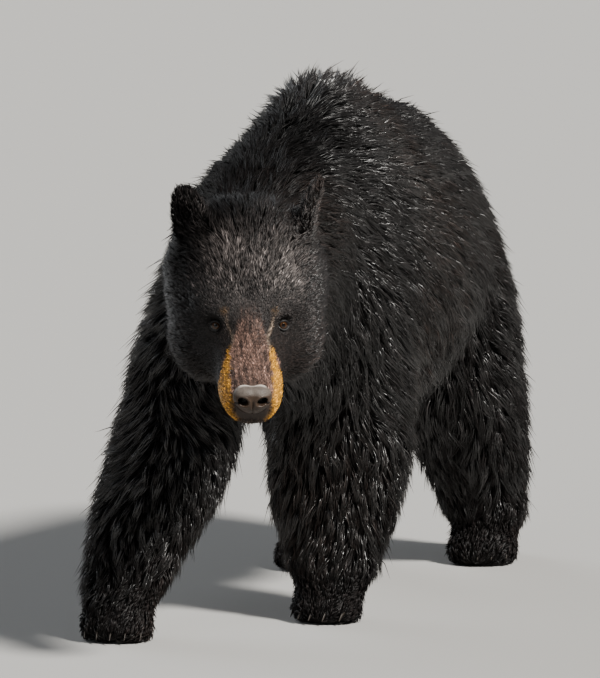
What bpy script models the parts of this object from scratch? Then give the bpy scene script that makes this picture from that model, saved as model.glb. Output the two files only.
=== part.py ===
"""American black bear, adult, walking with its head lowered and turned a little to its left.

A still, life-size model. The solids show the outline out to the tips of the coat: the whole
animal is modelled as one body, parted into named pieces by thin plane cuts, and the ears,
eyes, nose pad and claws are pieces of their own. The bear faces -Y, its left side is +X, and
its soles stand on small flats at z = 0. Units are metres.
"""
import math

import bmesh
import bpy
from mathutils import Matrix, Vector

# ---------------------------------------------------------------- driving dimensions
GAP = 0.0003                # clearance between neighbouring pieces
CUT = 0.0004                # thickness of a parting cut
WELD = 0.00001              # corners nearer than this are one corner
VOXEL = 0.0085              # grain of the first, unsmoothed body
SMOOTHING = 9               # passes that melt the muscle forms into one body
BODY_TRIANGLES = 3640       # faceting of the whole body
SEGMENTS = 28               # points round a lofted section
SOLE_DEPTH = 0.012          # how far a paw is modelled below the floor before its flat is cut

BROW = Vector((0.119, -0.798, 0.548))       # point of the head's axis between the brows
HEAD_YAW = math.radians(21)                 # head turned to the bear's left
HEAD_PITCH = math.radians(35)               # head axis below the horizontal
EYE_SPACING = 0.100
EYE_AHEAD, EYE_DROP = 0.005, 0.005          # the eyes ahead of and below that point
EYE_RADIUS = 0.0105
NOSE_HALF = Vector((0.0275, 0.0185, 0.0195))   # nose pad: half width, half depth, half height

# trunk stations from chest to rump: y, top, bottom, height of the widest point, half width,
# and the x of the middle line
TRUNK = (
    (-0.470, 0.640, 0.500, 0.560, 0.060, 0.026),
    (-0.440, 0.720, 0.430, 0.550, 0.118, 0.025),
    (-0.390, 0.788, 0.390, 0.535, 0.166, 0.022),
    (-0.310, 0.828, 0.368, 0.530, 0.190, 0.018),
    (-0.220, 0.858, 0.350, 0.525, 0.200, 0.020),
    (-0.130, 0.866, 0.338, 0.520, 0.210, 0.015),
    (-0.010, 0.840, 0.330, 0.515, 0.220, 0.005),
    (0.120, 0.816, 0.340, 0.510, 0.216, 0.000),
    (0.230, 0.803, 0.372, 0.510, 0.196, 0.000),
    (0.330, 0.788, 0.412, 0.515, 0.172, 0.000),
    (0.420, 0.750, 0.436, 0.530, 0.150, 0.000),
    (0.490, 0.718, 0.462, 0.550, 0.122, 0.000),
    (0.532, 0.672, 0.505, 0.580, 0.078, 0.000),
)
# neck stations from shoulders to skull: centre, half width, half height
NECK = (
    ((0.022, -0.300, 0.610), 0.150, 0.205),
    ((0.028, -0.400, 0.612), 0.148, 0.182),
    ((0.040, -0.480, 0.610), 0.138, 0.166),
    ((0.054, -0.550, 0.606), 0.127, 0.152),
    ((0.068, -0.620, 0.600), 0.117, 0.138),
)
# leg stations from shoulder or hip to sole: z, x, y, half width, half length
FORELEG_LEFT = (
    (0.640, 0.115, -0.265, 0.060, 0.100),
    (0.560, 0.128, -0.262, 0.078, 0.125),
    (0.480, 0.124, -0.252, 0.092, 0.130),
    (0.400, 0.108, -0.238, 0.102, 0.124),
    (0.320, 0.086, -0.222, 0.116, 0.112),
    (0.240, 0.074, -0.215, 0.120, 0.104),
    (0.160, 0.069, -0.222, 0.106, 0.088),
    (0.100, 0.071, -0.234, 0.080, 0.072),
    (0.055, 0.074, -0.244, 0.062, 0.066),
)
FORELEG_RIGHT = (
    (0.640, -0.092, -0.280, 0.060, 0.100),
    (0.560, -0.112, -0.300, 0.082, 0.125),
    (0.480, -0.124, -0.330, 0.094, 0.128),
    (0.400, -0.130, -0.365, 0.100, 0.118),
    (0.320, -0.134, -0.405, 0.106, 0.106),
    (0.240, -0.143, -0.442, 0.108, 0.098),
    (0.160, -0.166, -0.478, 0.095, 0.084),
    (0.100, -0.184, -0.503, 0.074, 0.070),
    (0.055, -0.188, -0.518, 0.063, 0.068),
)
HIND_LEG = (
    (0.620, 0.070, 0.320, 0.060, 0.120),
    (0.550, 0.088, 0.324, 0.076, 0.156),
    (0.480, 0.101, 0.328, 0.088, 0.174),
    (0.400, 0.108, 0.334, 0.095, 0.168),
    (0.320, 0.110, 0.345, 0.100, 0.152),
    (0.240, 0.109, 0.372, 0.099, 0.134),
    (0.160, 0.111, 0.414, 0.090, 0.110),
    (0.100, 0.116, 0.446, 0.071, 0.088),
    (0.055, 0.121, 0.455, 0.058, 0.084),
)
HIND_STEP = 0.150           # how far the right hind foot is set ahead of the left

# muzzle and skull stations along the head's axis: ahead of the brows, middle height,
# half width, half height, squareness of the section
MUZZLE = (
    (0.158, -0.046, 0.030, 0.030, 2.4),
    (0.146, -0.047, 0.041, 0.039, 2.5),
    (0.120, -0.050, 0.048, 0.045, 2.5),
    (0.085, -0.051, 0.053, 0.050, 2.5),
    (0.045, -0.048, 0.055, 0.057, 2.5),
    (0.000, -0.042, 0.062, 0.071, 2.3),
    (-0.050, -0.034, 0.085, 0.088, 2.1),
)
SKULL = (
    (0.022, -0.004, 0.036, 0.026, 2.0),
    (-0.006, -0.010, 0.074, 0.046, 2.1),
    (-0.045, -0.026, 0.108, 0.082, 2.2),
    (-0.090, -0.028, 0.125, 0.107, 2.2),
    (-0.135, -0.024, 0.127, 0.120, 2.1),
    (-0.180, -0.024, 0.118, 0.122, 2.0),
    (-0.220, -0.034, 0.106, 0.104, 2.0),
)

# paws: sole centre, direction the toes point in (degrees to the bear's left of straight
# ahead), and whether it is a hind foot
PAWS = {
    "forepaw_left": ((0.075, -0.246), -12.0, False),
    "forepaw_right": ((-0.188, -0.530), 8.0, False),
    "hind_paw_left": ((0.122, 0.445), 8.0, True),
    "hind_paw_right": ((-0.120, 0.445 - HIND_STEP), -8.0, True),
}
FOREPAW_LENGTH = 0.140
HIND_PAW_LENGTH = 0.205
PAW_WIDTH = 0.116
TOES = 5
CLAW_LENGTH = {False: 0.036, True: 0.026}
CLAW_RADIUS = 0.0056
CLAW_SIDES = 6

# parting cuts: name, centre, normal, radius
CUTS = (
    ("head", (0.075, -0.645, 0.585), (0.18, -0.94, -0.20), 0.185),
    ("neck", (0.042, -0.505, 0.620), (0.10, -0.95, 0.25), 0.200),
    ("chest", (0.0, -0.040, 0.580), (0.0, 1.0, 0.0), 0.330),
    ("belly", (0.0, 0.150, 0.585), (0.0, 1.0, -0.27), 0.292),
    ("foreleg_left", (0.082, -0.228, 0.300), (0.10, 0.0, 1.0), 0.150),
    ("foreleg_right", (-0.130, -0.414, 0.300), (-0.25, -0.35, 1.0), 0.150),
    ("forepaw_left", (0.073, -0.240, 0.092), (0.0, 0.15, 1.0), 0.100),
    ("forepaw_right", (-0.180, -0.508, 0.092), (-0.15, -0.25, 1.0), 0.100),
    ("hind_leg_left", (0.113, 0.346, 0.306), (0.15, -0.10, 1.0), 0.168),
    ("hind_leg_right", (-0.113, 0.262, 0.306), (-0.15, -0.10, 1.0), 0.168),
    ("hind_paw_left", (0.121, 0.458, 0.088), (0.0, 0.12, 1.0), 0.115),
    ("hind_paw_right", (-0.121, 0.458 - HIND_STEP, 0.088), (0.0, 0.12, 1.0), 0.115),
    ("tail", (0.0, 0.547, 0.630), (0.0, 1.0, 0.0), 0.085),
)
# a point well inside each piece of the parted body, to tell which piece is which
HEARTS = {
    "head": (0.100, -0.720, 0.560),
    "neck": (0.055, -0.575, 0.610),
    "chest": (0.010, -0.250, 0.580),
    "belly": (0.0, 0.060, 0.560),
    "rump": (0.0, 0.330, 0.550),
    "tail": (0.0, 0.570, 0.620),
    "foreleg_left": (0.075, -0.230, 0.190),
    "foreleg_right": (-0.150, -0.460, 0.190),
    "forepaw_left": (0.075, -0.250, 0.045),
    "forepaw_right": (-0.188, -0.530, 0.045),
    "hind_leg_left": (0.120, 0.400, 0.190),
    "hind_leg_right": (-0.120, 0.270, 0.190),
    "hind_paw_left": (0.122, 0.450, 0.045),
    "hind_paw_right": (-0.121, 0.300, 0.045),
}


# ---------------------------------------------------------------- scene and materials
def new_collection(name):
    collection = bpy.data.collections.new(name)
    bpy.context.scene.collection.children.link(collection)
    return collection


def material(name, colour, roughness, metallic=0.0):
    made = bpy.data.materials.new(name)
    made.use_nodes = True
    shader = made.node_tree.nodes["Principled BSDF"]
    shader.inputs["Base Color"].default_value = (*colour, 1.0)
    shader.inputs["Roughness"].default_value = roughness
    shader.inputs["Metallic"].default_value = metallic
    return made


def add_object(name, mesh_data, collection, finish=None):
    made = bpy.data.objects.new(name, mesh_data)
    collection.objects.link(made)
    if finish is not None:
        made.data.materials.clear()
        made.data.materials.append(finish)
    return made


def object_from_bmesh(name, form, collection, finish=None):
    data = bpy.data.meshes.new(name)
    form.to_mesh(data)
    form.free()
    return add_object(name, data, collection, finish)


def evaluated_mesh(source):
    """The object's mesh with its modifiers applied, as a new mesh."""
    graph = bpy.context.evaluated_depsgraph_get()
    return bpy.data.meshes.new_from_object(source.evaluated_get(graph))


def apply_modifiers(target):
    data = evaluated_mesh(target)
    target.modifiers.clear()
    old = target.data
    target.data = data
    bpy.data.meshes.remove(old)


# ---------------------------------------------------------------- forms
def head_axes():
    """The head's forward, left and upward directions."""
    forward = Vector((
        math.sin(HEAD_YAW) * math.cos(HEAD_PITCH),
        -math.cos(HEAD_YAW) * math.cos(HEAD_PITCH),
        -math.sin(HEAD_PITCH),
    ))
    left = Vector((math.cos(HEAD_YAW), math.sin(HEAD_YAW), 0.0))
    return forward, left, forward.cross(left)


FORWARD, LEFT, UP = head_axes()


def head_point(ahead, left, up):
    """A point given from between the brows along the head's own directions."""
    return BROW + FORWARD * ahead + LEFT * left + UP * up


def section(centre, across, along, square=2.0):
    """A closed superellipse section; square 2 is an ellipse, more is boxier."""
    points = []
    for step in range(SEGMENTS):
        angle = 2.0 * math.pi * step / SEGMENTS
        cosine, sine = math.cos(angle), math.sin(angle)
        reach = (abs(cosine) ** square + abs(sine) ** square) ** (-1.0 / square)
        points.append(Vector(centre) + Vector(across) * (cosine * reach) + Vector(along) * (sine * reach))
    return points


def trunk_section(y, top, bottom, widest, half_width, middle):
    """An egg-shaped section of the trunk: a narrow back over a round belly."""
    points = []
    for step in range(SEGMENTS):
        angle = 2.0 * math.pi * step / SEGMENTS
        cosine, sine = math.cos(angle), math.sin(angle)
        square = 1.5 if sine > 0.0 else 2.25
        height = top - widest if sine > 0.0 else widest - bottom
        reach = (abs(cosine) ** square + abs(sine) ** square) ** (-1.0 / square)
        points.append(Vector((middle + half_width * cosine * reach, y, widest + height * sine * reach)))
    return points


def loft(form, sections):
    """A closed tube through sections with the same number of points."""
    loops = [[form.verts.new(point) for point in points] for points in sections]
    for lower, upper in zip(loops, loops[1:]):
        for index in range(len(lower)):
            after = (index + 1) % len(lower)
            form.faces.new((lower[index], lower[after], upper[after], upper[index]))
    form.faces.new(reversed(loops[0]))
    form.faces.new(loops[-1])


def ball(form, centre, radii, axes=None, segments=24, rings=16):
    """An ellipsoid; axes are the directions of its three radii."""
    first, second, third = axes or (Vector((1, 0, 0)), Vector((0, 1, 0)), Vector((0, 0, 1)))
    matrix = Matrix((first * radii[0], second * radii[1], third * radii[2])).transposed().to_4x4()
    matrix.translation = Vector(centre)
    return bmesh.ops.create_uvsphere(
        form, u_segments=segments, v_segments=rings, radius=1.0, matrix=matrix)["verts"]


def head_ball(form, place, radii):
    """An ellipsoid on the head, its radii ahead, across and up."""
    ball(form, head_point(*place), radii, (FORWARD, LEFT, UP))


def leg(form, stations):
    loft(form, [
        section((x, y, z), (across, 0.0, 0.0), (0.0, along, 0.0))
        for z, x, y, across, along in stations
    ])


def mirrored_hind_leg():
    """The right hind leg: mirrored, and swung forward more towards the foot."""
    hip, sole = HIND_LEG[0][0], 0.0
    return [
        (z, -x, y - HIND_STEP * min(1.0, 1.15 * (hip - z) / (hip - sole)), across, along)
        for z, x, y, across, along in HIND_LEG
    ]


def paw_axes(heading):
    """The paw's forward and leftward directions on the floor."""
    angle = math.radians(heading)
    return Vector((math.sin(angle), -math.cos(angle), 0.0)), Vector((math.cos(angle), math.sin(angle), 0.0))


def toe_places(centre, heading, is_hind):
    """The middle of each toe at half its height, outermost toes set back."""
    forward, left = paw_axes(heading)
    length = HIND_PAW_LENGTH if is_hind else FOREPAW_LENGTH
    pitch = PAW_WIDTH * 0.205
    for index in range(TOES):
        side = index - (TOES - 1) / 2
        ahead = 0.5 * length - 0.030 - 0.0052 * side * side
        yield side, Vector((*centre, 0.024)) + forward * ahead + left * (side * pitch)


def paw(form, centre, heading, is_hind):
    forward, left = paw_axes(heading)
    upward = Vector((0, 0, 1))
    length = HIND_PAW_LENGTH if is_hind else FOREPAW_LENGTH
    middle = Vector((*centre, 0.0))
    half_height = 0.062
    ball(form, middle + forward * (0.10 * length) + upward * (half_height - SOLE_DEPTH - 0.020),
         (0.40 * length, 0.48 * PAW_WIDTH, half_height), (forward, left, upward))
    if is_hind:
        ball(form, middle - forward * (0.26 * length) + upward * 0.032,
             (0.24 * length, 0.35 * PAW_WIDTH, 0.052), (forward, left, upward))
    for side, place in toe_places(centre, heading, is_hind):
        ball(form, place - upward * 0.004, (0.030, 0.0150, 0.030), (forward, left, upward))


def muscle_forms(form):
    """The masses that show under the coat: hump, shoulders, brisket, haunches and cheeks."""
    ball(form, (0.016, -0.175, 0.770), (0.078, 0.190, 0.082))
    ball(form, (0.062, -0.615, 0.632), (0.098, 0.100, 0.104))
    ball(form, (0.112, -0.285, 0.560), (0.088, 0.130, 0.165))
    ball(form, (-0.090, -0.300, 0.560), (0.092, 0.130, 0.165))
    ball(form, (0.016, -0.395, 0.480), (0.125, 0.100, 0.105))
    ball(form, (0.084, 0.330, 0.490), (0.096, 0.155, 0.135))
    ball(form, (-0.084, 0.300, 0.490), (0.096, 0.155, 0.135))
    ball(form, (0.070, 0.436, 0.492), (0.080, 0.084, 0.122))
    ball(form, (-0.070, 0.432, 0.492), (0.080, 0.084, 0.122))
    for side in (-1, 1):
        head_ball(form, (-0.070, side * 0.056, -0.074), (0.086, 0.062, 0.084))
        head_ball(form, (-0.022, side * 0.044, -0.060), (0.066, 0.040, 0.062))
        head_ball(form, (-0.046, side * 0.050, 0.008), (0.056, 0.046, 0.042))
        head_ball(form, (0.080, side * 0.026, -0.062), (0.055, 0.028, 0.034))


def body_form():
    """Trunk, neck, head, legs, paws and tail, overlapping one another."""
    form = bmesh.new()
    loft(form, [trunk_section(*station) for station in TRUNK])
    loft(form, [
        section(centre, (across, 0.0, 0.0), (0.0, 0.0, upward), 2.0)
        for centre, across, upward in NECK
    ])
    for stations in (MUZZLE, SKULL):
        loft(form, [
            section(head_point(ahead, 0.0, middle), LEFT * across, UP * upward, square)
            for ahead, middle, across, upward, square in stations
        ])
    for stations in (FORELEG_LEFT, FORELEG_RIGHT, HIND_LEG, mirrored_hind_leg()):
        leg(form, stations)
    for centre, heading, is_hind in PAWS.values():
        paw(form, centre, heading, is_hind)
    muscle_forms(form)
    ball(form, (0.0, 0.500, 0.672), (0.030, 0.034, 0.034))
    ball(form, (0.0, 0.538, 0.636), (0.028, 0.028, 0.050))
    ball(form, (0.0, 0.556, 0.596), (0.021, 0.022, 0.044))
    bmesh.ops.recalc_face_normals(form, faces=form.faces)
    return form


def flatten_soles(form):
    """Cut everything below the floor away and close the cuts with flats."""
    geometry = form.verts[:] + form.edges[:] + form.faces[:]
    cut = bmesh.ops.bisect_plane(
        form, geom=geometry, dist=1e-7, plane_co=(0, 0, 0), plane_no=(0, 0, 1), clear_inner=True)
    rim = [item for item in cut["geom_cut"] if isinstance(item, bmesh.types.BMEdge)]
    bmesh.ops.holes_fill(form, edges=rim, sides=0)
    bmesh.ops.triangulate(form, faces=form.faces)


def make_body(collection):
    body = object_from_bmesh("body", body_form(), collection)
    remesh = body.modifiers.new("Remesh", "REMESH")
    remesh.mode = "VOXEL"
    remesh.voxel_size = VOXEL
    smooth = body.modifiers.new("Smooth", "SMOOTH")
    smooth.factor = 0.5
    smooth.iterations = SMOOTHING
    apply_modifiers(body)
    body.data.calc_loop_triangles()
    decimate = body.modifiers.new("Decimate", "DECIMATE")
    decimate.ratio = BODY_TRIANGLES / len(body.data.loop_triangles)
    apply_modifiers(body)
    form = bmesh.new()
    form.from_mesh(body.data)
    flatten_soles(form)
    form.to_mesh(body.data)
    form.free()
    return body


# ---------------------------------------------------------------- cutting
def boolean(target, cutter, operation="DIFFERENCE"):
    step = target.modifiers.new("Boolean", "BOOLEAN")
    step.operation = operation
    step.object = cutter
    apply_modifiers(target)


def make_cutter(name, form, collection):
    cutter = object_from_bmesh(name, form, collection)
    cutter.hide_render = True
    cutter.display_type = "WIRE"
    return cutter


def disc_cutter(name, centre, normal, radius, collection):
    """A thin disc that parts the body where it passes through."""
    form = bmesh.new()
    matrix = Vector(normal).to_track_quat("Z", "Y").to_matrix().to_4x4()
    matrix.translation = Vector(centre)
    bmesh.ops.create_cone(
        form, cap_ends=True, segments=32, radius1=radius, radius2=radius, depth=CUT, matrix=matrix)
    return make_cutter(f"cut_{name}", form, collection)


def islands(form):
    """The separate closed bodies in a mesh, as lists of faces."""
    left_over = set(form.faces)
    while left_over:
        seed = left_over.pop()
        island, front = [seed], [seed]
        while front:
            face = front.pop()
            for edge in face.edges:
                for neighbour in edge.link_faces:
                    if neighbour in left_over:
                        left_over.remove(neighbour)
                        island.append(neighbour)
                        front.append(neighbour)
        yield island


def part_body(body, collection, cutters, finish):
    """Cut the body at every disc and give each piece its own object and name."""
    for name, centre, normal, radius in CUTS:
        boolean(body, disc_cutter(name, centre, normal, radius, cutters))
    whole = bmesh.new()
    whole.from_mesh(body.data)
    pieces = {}
    for island in list(islands(whole)):
        indices = {vert: number for number, vert in enumerate({v for face in island for v in face.verts})}
        middle = sum((vert.co for vert in indices), Vector()) / len(indices)
        name = min(HEARTS, key=lambda key: (Vector(HEARTS[key]) - middle).length)
        data = bpy.data.meshes.new(name)
        faces = [[indices[vert] for vert in face.verts] for face in island]
        data.from_pydata([vert.co[:] for vert in indices], [], faces)
        pieces.setdefault(name, []).append(add_object(name, data, collection, finish))
    whole.free()
    bpy.data.objects.remove(body)
    return pieces


# ---------------------------------------------------------------- pieces set into the body
def inflated_copy(body, name, distance, collection):
    """The body grown outwards by the clearance, to trim what sits on it."""
    form = bmesh.new()
    form.from_mesh(body.data)
    form.normal_update()
    moves = {vert: vert.normal * distance for vert in form.verts}
    for vert, move in moves.items():
        vert.co += move
    return make_cutter(name, form, collection)


def eye_centre(side):
    return head_point(EYE_AHEAD, side * EYE_SPACING / 2, -EYE_DROP)


def make_eye(name, side, radius, collection, finish=None):
    form = bmesh.new()
    ball(form, eye_centre(side), (radius,) * 3, (LEFT, UP, FORWARD), segments=14, rings=10)
    return object_from_bmesh(name, form, collection, finish)


def eye_hollow(side, collection):
    """A shallow cone of air in front of the eye, so that the ball shows in its socket."""
    form = bmesh.new()
    outward = (FORWARD * 0.80 + LEFT * (side * 0.52) + UP * 0.30).normalized()
    matrix = outward.to_track_quat("Z", "Y").to_matrix().to_4x4()
    matrix.translation = eye_centre(side) + outward * 0.020
    bmesh.ops.create_cone(form, cap_ends=True, segments=14, radius1=0.0085, radius2=0.026,
                          depth=0.034, matrix=matrix)
    return make_cutter(f"hollow_eye_{side}", form, collection)


def nose_form(grow):
    """The nose pad: broad and flat on top, narrowing to the lip."""
    form = bmesh.new()
    width, depth, height = (size + grow for size in NOSE_HALF)
    verts = ball(form, (0, 0, 0), (1, 1, 1), segments=16, rings=10)
    for vert in verts:
        reach = sum(abs(value) ** 3.0 for value in vert.co) ** (-1.0 / 3.0)
        across, ahead, up = vert.co * reach
        across *= 1.0 - 0.16 * max(0.0, -up)
        ahead *= 1.0 - 0.18 * across * across
        vert.co = head_point(0.1475 + ahead * depth, across * width, -0.026 + up * height)
    bmesh.ops.recalc_face_normals(form, faces=form.faces)
    return form


EARS = {
    # base and tip from between the brows (ahead, left, up), and how far the cup
    # is turned outwards, in degrees
    "ear_left": (Vector((-0.146, 0.086, 0.046)), Vector((-0.176, 0.110, 0.138)), 74.0),
    "ear_right": (Vector((-0.146, -0.082, 0.044)), Vector((-0.174, -0.098, 0.126)), 24.0),
}
EAR_HALF_WIDTH = 0.031
EAR_HALF_THICKNESS = 0.0115


def make_ear(name, base, tip, turn, collection, cutters, finish):
    """A rounded, cupped ear that stands on the skull."""
    foot, top = head_point(*base), head_point(*tip)
    rise = (top - foot).normalized()
    side = 1 if base.y > 0 else -1
    facing = FORWARD * math.cos(math.radians(turn)) + LEFT * (side * math.sin(math.radians(turn)))
    facing = (facing - rise * facing.dot(rise)).normalized()
    across = facing.cross(rise)
    half_height = 0.5 * (top - foot).length + 0.014
    centre = top - rise * half_height
    form = bmesh.new()
    ball(form, centre, (EAR_HALF_WIDTH, EAR_HALF_THICKNESS, half_height), (across, facing, rise), 16, 11)
    ear = object_from_bmesh(name, form, collection, finish)
    cup = bmesh.new()
    ball(cup, centre + facing * 0.0165 + rise * (0.26 * half_height),
         (EAR_HALF_WIDTH * 0.70, EAR_HALF_THICKNESS, half_height * 0.56), (across, facing, rise), 12, 8)
    boolean(ear, make_cutter(f"cup_{name}", cup, cutters))
    return ear


def make_claw(name, root, forward, is_hind, side, collection, finish):
    """A tapering claw that leaves the toe forwards and curves to just above the floor."""
    length = CLAW_LENGTH[is_hind]
    left = Vector((0, 0, 1)).cross(forward)
    heading = (forward - left * (0.05 * side)).normalized()
    across = Vector((0, 0, 1)).cross(heading)
    rings = 5
    sections = []
    for step in range(rings):
        along = step / (rings - 1)
        angle = math.radians(18 + 52 * along)
        drop = length * (0.10 * along + 0.42 * along * along)
        centre = root + heading * (length * (0.96 * along - 0.16 * along * along)) - Vector((0, 0, drop))
        radius = CLAW_RADIUS * (1.0 - 0.82 * along)
        upright = Vector((0, 0, 1)) * math.cos(angle) + heading * math.sin(angle)
        points = []
        for corner in range(CLAW_SIDES):
            turn = 2.0 * math.pi * corner / CLAW_SIDES
            points.append(centre + across * (0.62 * radius * math.cos(turn))
                          + upright * (1.15 * radius * math.sin(turn)))
        sections.append(points)
    form = bmesh.new()
    loft(form, sections)
    bmesh.ops.recalc_face_normals(form, faces=form.faces)
    bmesh.ops.triangulate(form, faces=form.faces)
    return object_from_bmesh(name, form, collection, finish)


def make_claws(collection, finish):
    claws = []
    for paw_name, (centre, heading, is_hind) in PAWS.items():
        forward, _ = paw_axes(heading)
        owner = paw_name.replace("hind_paw", "claw_hind").replace("forepaw", "claw_fore")
        for number, (side, place) in enumerate(toe_places(centre, heading, is_hind), start=1):
            root = place + forward * 0.012
            root.z = 0.026
            claws.append(make_claw(f"{owner}_{number}", root, forward, is_hind, side, collection, finish))
    return claws


# ---------------------------------------------------------------- the bear
def keep_largest(target):
    """Drop crumbs that a trimming cut leaves inside the body and close any slit in the main piece."""
    form = bmesh.new()
    form.from_mesh(target.data)
    groups = sorted(islands(form), key=lambda faces: sum(face.calc_area() for face in faces))
    crumbs = [face for group in groups[:-1] for face in group]
    bmesh.ops.delete(form, geom=crumbs, context="FACES")
    bmesh.ops.delete(form, geom=[v for v in form.verts if not v.link_faces], context="VERTS")
    bmesh.ops.triangulate(form, faces=form.faces)
    bmesh.ops.remove_doubles(form, verts=form.verts, dist=WELD)
    bmesh.ops.holes_fill(form, edges=[edge for edge in form.edges if edge.is_boundary], sides=0)
    bmesh.ops.triangulate(form, faces=form.faces)
    form.to_mesh(target.data)
    form.free()


def centre_on_floor(objects):
    """Bring the middle of the whole bear's footprint over the origin."""
    corners = [vert.co for item in objects for vert in item.data.vertices]
    middle = Vector((
        0.5 * (min(c.x for c in corners) + max(c.x for c in corners)),
        0.5 * (min(c.y for c in corners) + max(c.y for c in corners)),
        0.0,
    ))
    for item in objects:
        item.data.transform(Matrix.Translation(-middle))


def main():
    for item in list(bpy.data.objects):
        bpy.data.objects.remove(item)
    bear = new_collection("black_bear")
    cutters = new_collection("cutters")
    coat = material("black_coat", (0.012, 0.011, 0.011), 0.55)
    eyeball = material("brown_eye", (0.05, 0.02, 0.008), 0.08)
    leather = material("nose_leather", (0.05, 0.04, 0.036), 0.42)
    horn = material("dark_claw", (0.03, 0.025, 0.02), 0.35)

    body = make_body(bear)
    trimmer = inflated_copy(body, "trim_skin", GAP, cutters)

    ears = [make_ear(name, *values, bear, cutters, coat) for name, values in EARS.items()]
    claws = make_claws(bear, horn)
    for piece in ears + claws:
        boolean(piece, trimmer)
        keep_largest(piece)

    eyes = [
        make_eye(name, side, EYE_RADIUS, bear, eyeball)
        for name, side in (("eye_left", 1), ("eye_right", -1))
    ]
    for side in (1, -1):
        boolean(body, eye_hollow(side, cutters))
        socket = make_eye(f"socket_{side}", side, EYE_RADIUS + GAP, cutters)
        socket.hide_render = True
        socket.display_type = "WIRE"
        boolean(body, socket)

    nose = object_from_bmesh("nose_pad", nose_form(0.0), bear, leather)
    boolean(body, make_cutter("seat_nose", nose_form(GAP), cutters))

    pieces = part_body(body, bear, cutters, coat)
    flesh = [item for group in pieces.values() for item in group]
    everything = flesh + ears + claws + eyes + [nose]
    centre_on_floor(everything)
    for item in everything:
        item.data.shade_smooth()


main()
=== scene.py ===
"""The looks of the American black bear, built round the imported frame.

One skin lies under all the flesh nodes, inside them by a share of the coat's depth. A coat of
solid mesh tufts grows from it, gathered in damp locks that follow the lie of the fur. Eyes with
lids, the nose and the claws are pieces of their own. The bear faces -Y and its left side is +X.
"""
import math
from functools import partial

import bmesh
import bpy
import numpy as np
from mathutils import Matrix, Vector
from mathutils.bvhtree import BVHTree
from mathutils.kdtree import KDTree


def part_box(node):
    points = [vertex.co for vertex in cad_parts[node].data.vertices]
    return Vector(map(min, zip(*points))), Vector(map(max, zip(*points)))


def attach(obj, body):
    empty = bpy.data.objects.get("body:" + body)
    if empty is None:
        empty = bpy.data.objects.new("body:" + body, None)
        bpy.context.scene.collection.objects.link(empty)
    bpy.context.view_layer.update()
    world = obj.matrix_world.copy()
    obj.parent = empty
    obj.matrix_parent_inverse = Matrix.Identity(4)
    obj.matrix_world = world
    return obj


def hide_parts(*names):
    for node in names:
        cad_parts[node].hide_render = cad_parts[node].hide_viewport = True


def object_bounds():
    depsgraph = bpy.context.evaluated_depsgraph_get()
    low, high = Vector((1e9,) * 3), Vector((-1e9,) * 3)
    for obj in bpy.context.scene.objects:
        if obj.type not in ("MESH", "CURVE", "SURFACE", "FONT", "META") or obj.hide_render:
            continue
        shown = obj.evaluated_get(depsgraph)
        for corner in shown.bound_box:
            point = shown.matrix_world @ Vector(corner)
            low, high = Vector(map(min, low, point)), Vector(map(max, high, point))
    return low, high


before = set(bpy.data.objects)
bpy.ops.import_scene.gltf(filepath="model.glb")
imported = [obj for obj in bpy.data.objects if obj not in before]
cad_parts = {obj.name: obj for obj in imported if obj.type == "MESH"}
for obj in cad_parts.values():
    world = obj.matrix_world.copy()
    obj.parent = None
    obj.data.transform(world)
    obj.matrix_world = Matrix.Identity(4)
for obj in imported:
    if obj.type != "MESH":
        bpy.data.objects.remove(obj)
CAD_BOX = [list(corner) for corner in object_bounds()]
SEED = 7

# ---- driving values
HEAD_PITCH = math.radians(35)  # head axis below the horizontal
EYE_RADIUS = 0.0105
EYE_AHEAD, EYE_DROP = 0.005, 0.005  # the eyes ahead of and below the point between the brows
WELD = 1e-5  # vertices nearer than this are one
CLOSE_CUTS = 0.0010  # growth that closes the parting cuts before remeshing
VOXEL = 0.0080  # grain of the skin before the head is refined
SMOOTHING = 12  # passes that melt the facets of the solids
FIELD_SMOOTHING = 40  # passes that blend the coat from one part to the next
MOST_TUFTS = 19000  # tufts in one coat piece
INSET = 0.72  # how deep the skin lies, as a share of the coat's depth
SCATTER_CELL = 0.02  # roots are spread through the skin cell by cell, this wide
UV_PATCH = 0.003  # width of a tuft's patch on its piece's unwrap
LEAST_HEIGHT = 0.0006  # the skin stays this far above the floor
SOLE_HEIGHT = 0.004  # no fur grows below this
TIP_HEIGHT = 0.0012  # lowest place of a tuft's tip
MIDDLE_HEIGHT = 0.0030  # and of its middle ring
FLAT = 0.97  # normals more along the head's up axis are on top or underneath

# the coat on each part but the head: length, depth, rise (share of the length that stands up),
# wetness, thousands of tufts to a square metre, distance between locks, width of a tuft, gloss
COAT = {
    "neck": (0.056, 0.025, 0.06, 0.62, 50, 0.0110, 0.0020, 0.42),
    "chest": (0.054, 0.026, 0.04, 0.80, 42, 0.0135, 0.0021, 0.95),
    "belly": (0.056, 0.026, 0.04, 0.84, 38, 0.0135, 0.0023, 0.80),
    "rump": (0.056, 0.026, 0.05, 0.88, 38, 0.0140, 0.0023, 0.80),
    "tail": (0.045, 0.014, 0.10, 0.60, 60, 0.0100, 0.0025, 0.60),
    "foreleg": (0.048, 0.020, 0.07, 0.90, 44, 0.0135, 0.0021, 0.75),
    "hind_leg": (0.050, 0.021, 0.07, 0.92, 43, 0.0140, 0.0022, 0.62),
    "forepaw": (0.018, 0.0075, 0.04, 0.60, 80, 0.0075, 0.0020, 0.22),
    "hind_paw": (0.020, 0.0080, 0.04, 0.60, 80, 0.0080, 0.0020, 0.22),
    "ear": (0.017, 0.0025, 0.28, 0.15, 190, 0.0045, 0.0013, 0.35),
}
COLUMNS = 8
LENGTH, DEPTH, RISE, WET, DENSITY, SPACING, WIDTH, GLOSS = range(COLUMNS)
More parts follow.
